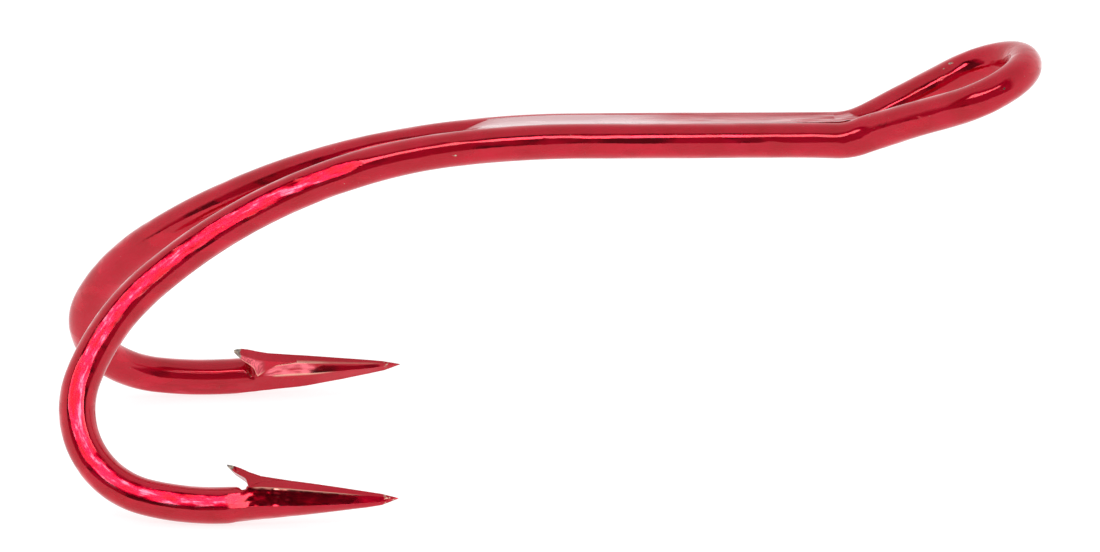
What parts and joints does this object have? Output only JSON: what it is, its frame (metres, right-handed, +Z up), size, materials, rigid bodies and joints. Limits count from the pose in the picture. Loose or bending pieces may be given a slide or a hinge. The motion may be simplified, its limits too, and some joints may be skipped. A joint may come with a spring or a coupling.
{
  "type": "double fish hook",
  "caption": "Up-eyed double fish hook of bent steel wire with brazed twin shank, splayed forged bends and barbed points, under red lacquer.",
  "frame": {"origin": "centre of the eye's round end, on the wire's centre plane", "axes": "+X along the straight shank towards the eye, +Z up, away from the points; the left hook is on the -Y side"},
  "size_m": [0.0293, 0.0134, 0.0128],
  "materials": {
    "red_lacquered_wire": "clear red lacquer over bright plated steel",
    "lacquered_braze": "clear red lacquer over rippled braze"
  },
  "bodies": {
    "root": {"eye_ring": "red_lacquered_wire", "left_neck": "red_lacquered_wire", "right_neck": "red_lacquered_wire", "neck_braze": "lacquered_braze", "left_shank": "red_lacquered_wire", "right_shank": "red_lacquered_wire", "shank_braze": "lacquered_braze", "left_rear_shank": "red_lacquered_wire", "right_rear_shank": "red_lacquered_wire", "left_upper_bend": "red_lacquered_wire", "right_upper_bend": "red_lacquered_wire", "left_bend": "red_lacquered_wire", "right_bend": "red_lacquered_wire", "left_throat": "red_lacquered_wire", "right_throat": "red_lacquered_wire", "left_point": "red_lacquered_wire", "right_point": "red_lacquered_wire", "left_barb": "red_lacquered_wire", "right_barb": "red_lacquered_wire"}
  },
  "joints": []
}
